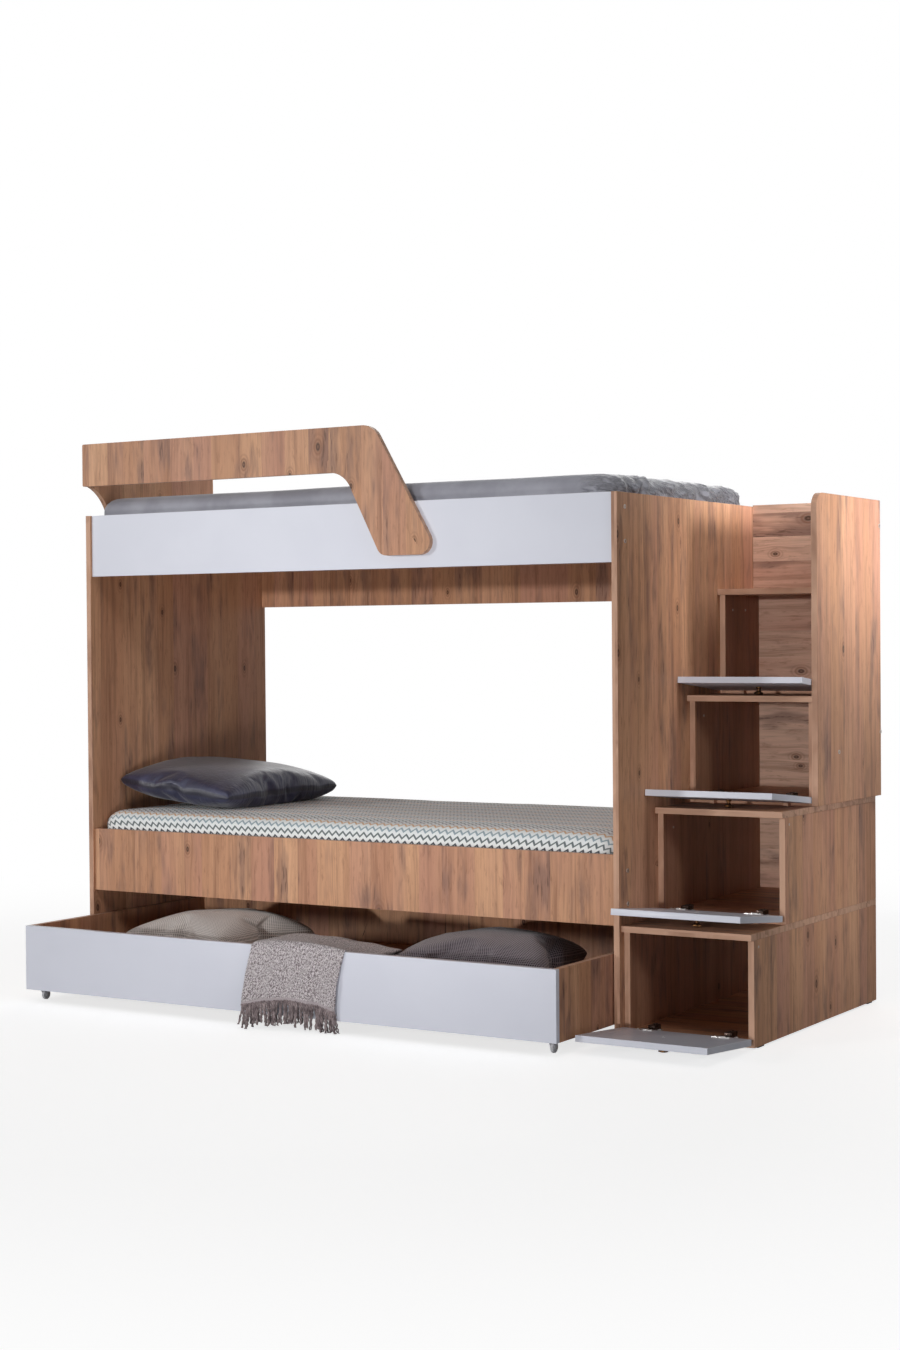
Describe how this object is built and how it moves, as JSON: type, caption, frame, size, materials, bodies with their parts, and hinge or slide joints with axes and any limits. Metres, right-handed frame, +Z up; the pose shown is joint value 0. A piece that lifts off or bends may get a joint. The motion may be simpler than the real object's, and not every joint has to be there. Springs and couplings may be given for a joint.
{
  "type": "triple bunk bed",
  "caption": "Bunk bed with two fixed bunks, a pull-out bed drawer, a leaning front guard and a stair of storage boxes with drop-down flaps",
  "frame": {"origin": "middle of the part's outline on the floor, as the picture shows it with the drawer pulled out and the flaps down", "axes": "+X from the bed towards the stair, +Y from the open front towards the wall side, +Z up"},
  "size_m": [2.3636, 1.351, 1.768],
  "materials": {
    "oak_laminate": "matt melamine-faced board with a printed knotty oak grain and matching edge band",
    "white_lacquer": "satin white faced board",
    "bronze_knob": "dark bronze, satin",
    "caster_housing": "dark pressed housing",
    "caster_tread": "light grey moulded wheel",
    "grey_sheet": "plain grey fitted sheet",
    "patterned_sheet": "white sheet with rows of zigzag",
    "slate_cover": "dark slate satin cotton",
    "pale_waffle": "beige waffle weave",
    "dark_waffle": "dark grey-brown waffle weave",
    "melange_throw": "mottled knit with a fringe"
  },
  "bodies": {
    "bed_frame": {"left_end_panel": "oak_laminate", "right_end_panel": "oak_laminate", "lower_front_rail": "oak_laminate", "upper_front_rail": "white_lacquer", "lower_back_panel": "oak_laminate", "upper_back_panel": "oak_laminate", "lower_bed_base": "oak_laminate", "upper_bed_base": "oak_laminate", "guard_front_board": "oak_laminate", "guard_end_board": "oak_laminate", "upper_mattress": "grey_sheet", "lower_mattress": "patterned_sheet", "pillow": "slate_cover", "tread_1": "oak_laminate", "box_1_left_wall": "oak_laminate", "box_1_right_wall": "oak_laminate", "box_1_floor": "oak_laminate", "box_1_back": "oak_laminate", "tread_2": "oak_laminate", "box_2_left_wall": "oak_laminate", "box_2_right_wall": "oak_laminate", "box_2_floor": "oak_laminate", "box_2_back": "oak_laminate", "tread_3": "oak_laminate", "box_3_left_wall": "oak_laminate", "box_3_right_wall": "oak_laminate", "box_3_floor": "oak_laminate", "box_3_back": "oak_laminate", "tread_4": "oak_laminate", "box_4_left_wall": "oak_laminate", "box_4_right_wall": "oak_laminate", "box_4_floor": "oak_laminate", "box_4_back": "oak_laminate", "landing_back_panel": "oak_laminate", "side_panel": "oak_laminate"},
    "bed_drawer": {"drawer_front": "white_lacquer", "drawer_left_side": "oak_laminate", "drawer_right_side": "oak_laminate", "drawer_back": "oak_laminate", "drawer_base": "oak_laminate", "pale_cushion": "pale_waffle", "dark_cushion": "dark_waffle", "throw": "melange_throw"},
    "stair_flap_1": {"flap_1": "white_lacquer", "knob_1": "bronze_knob"},
    "stair_flap_2": {"flap_2": "white_lacquer", "knob_2": "bronze_knob"},
    "stair_flap_3": {"flap_3": "white_lacquer", "knob_3": "bronze_knob"},
    "stair_flap_4": {"flap_4": "white_lacquer", "knob_4": "bronze_knob"},
    "caster_front_left": {"caster_fork_front_left": "caster_housing"},
    "wheel_front_left": {"caster_wheel_front_left": "caster_tread"},
    "caster_front_right": {"caster_fork_front_right": "caster_housing"},
    "wheel_front_right": {"caster_wheel_front_right": "caster_tread"},
    "caster_rear_left": {"caster_fork_rear_left": "caster_housing"},
    "wheel_rear_left": {"caster_wheel_rear_left": "caster_tread"},
    "caster_rear_right": {"caster_fork_rear_right": "caster_housing"},
    "wheel_rear_right": {"caster_wheel_rear_right": "caster_tread"}
  },
  "joints": [
    {"name": "drawer_slide", "type": "slide", "parent": "bed_frame", "child": "bed_drawer", "axis": [0, -1, 0], "range_m": [-0.337, 0.56]},
    {"name": "flap_1_hinge", "type": "hinge", "parent": "bed_frame", "child": "stair_flap_1", "pos_m": [0.9655, -0.26366, 0.014], "axis": [-1, 0, 0], "range_deg": [0, 85.5]},
    {"name": "flap_2_hinge", "type": "hinge", "parent": "bed_frame", "child": "stair_flap_2", "pos_m": [0.9655, -0.04626, 0.3263], "axis": [-1, 0, 0], "range_deg": [0, 84.1]},
    {"name": "flap_3_hinge", "type": "hinge", "parent": "bed_frame", "child": "stair_flap_3", "pos_m": [0.9655, 0.17114, 0.6448], "axis": [-1, 0, 0], "range_deg": [0, 84.1]},
    {"name": "flap_4_hinge", "type": "hinge", "parent": "bed_frame", "child": "stair_flap_4", "pos_m": [0.9655, 0.38854, 0.9633], "axis": [-1, 0, 0], "range_deg": [0, 84.1]},
    {"name": "caster_front_left_swivel", "type": "hinge", "parent": "bed_drawer", "child": "caster_front_left", "pos_m": [-1.1208, -0.56346, 0.04], "axis": [0, 0, 1], "continuous": true},
    {"name": "wheel_front_left_spin", "type": "hinge", "parent": "caster_front_left", "child": "wheel_front_left", "pos_m": [-1.1208, -0.55146, 0.016], "axis": [1, 0, 0], "continuous": true},
    {"name": "caster_front_right_swivel", "type": "hinge", "parent": "bed_drawer", "child": "caster_front_right", "pos_m": [0.7092, -0.56346, 0.04], "axis": [0, 0, 1], "continuous": true},
    {"name": "wheel_front_right_spin", "type": "hinge", "parent": "caster_front_right", "child": "wheel_front_right", "pos_m": [0.7092, -0.55146, 0.016], "axis": [1, 0, 0], "continuous": true},
    {"name": "caster_rear_left_swivel", "type": "hinge", "parent": "bed_drawer", "child": "caster_rear_left", "pos_m": [-1.1208, 0.25654, 0.04], "axis": [0, 0, 1], "continuous": true},
    {"name": "wheel_rear_left_spin", "type": "hinge", "parent": "caster_rear_left", "child": "wheel_rear_left", "pos_m": [-1.1208, 0.26854, 0.016], "axis": [1, 0, 0], "continuous": true},
    {"name": "caster_rear_right_swivel", "type": "hinge", "parent": "bed_drawer", "child": "caster_rear_right", "pos_m": [0.7092, 0.25654, 0.04], "axis": [0, 0, 1], "continuous": true},
    {"name": "wheel_rear_right_spin", "type": "hinge", "parent": "caster_rear_right", "child": "wheel_rear_right", "pos_m": [0.7092, 0.26854, 0.016], "axis": [1, 0, 0], "continuous": true}
  ]
}
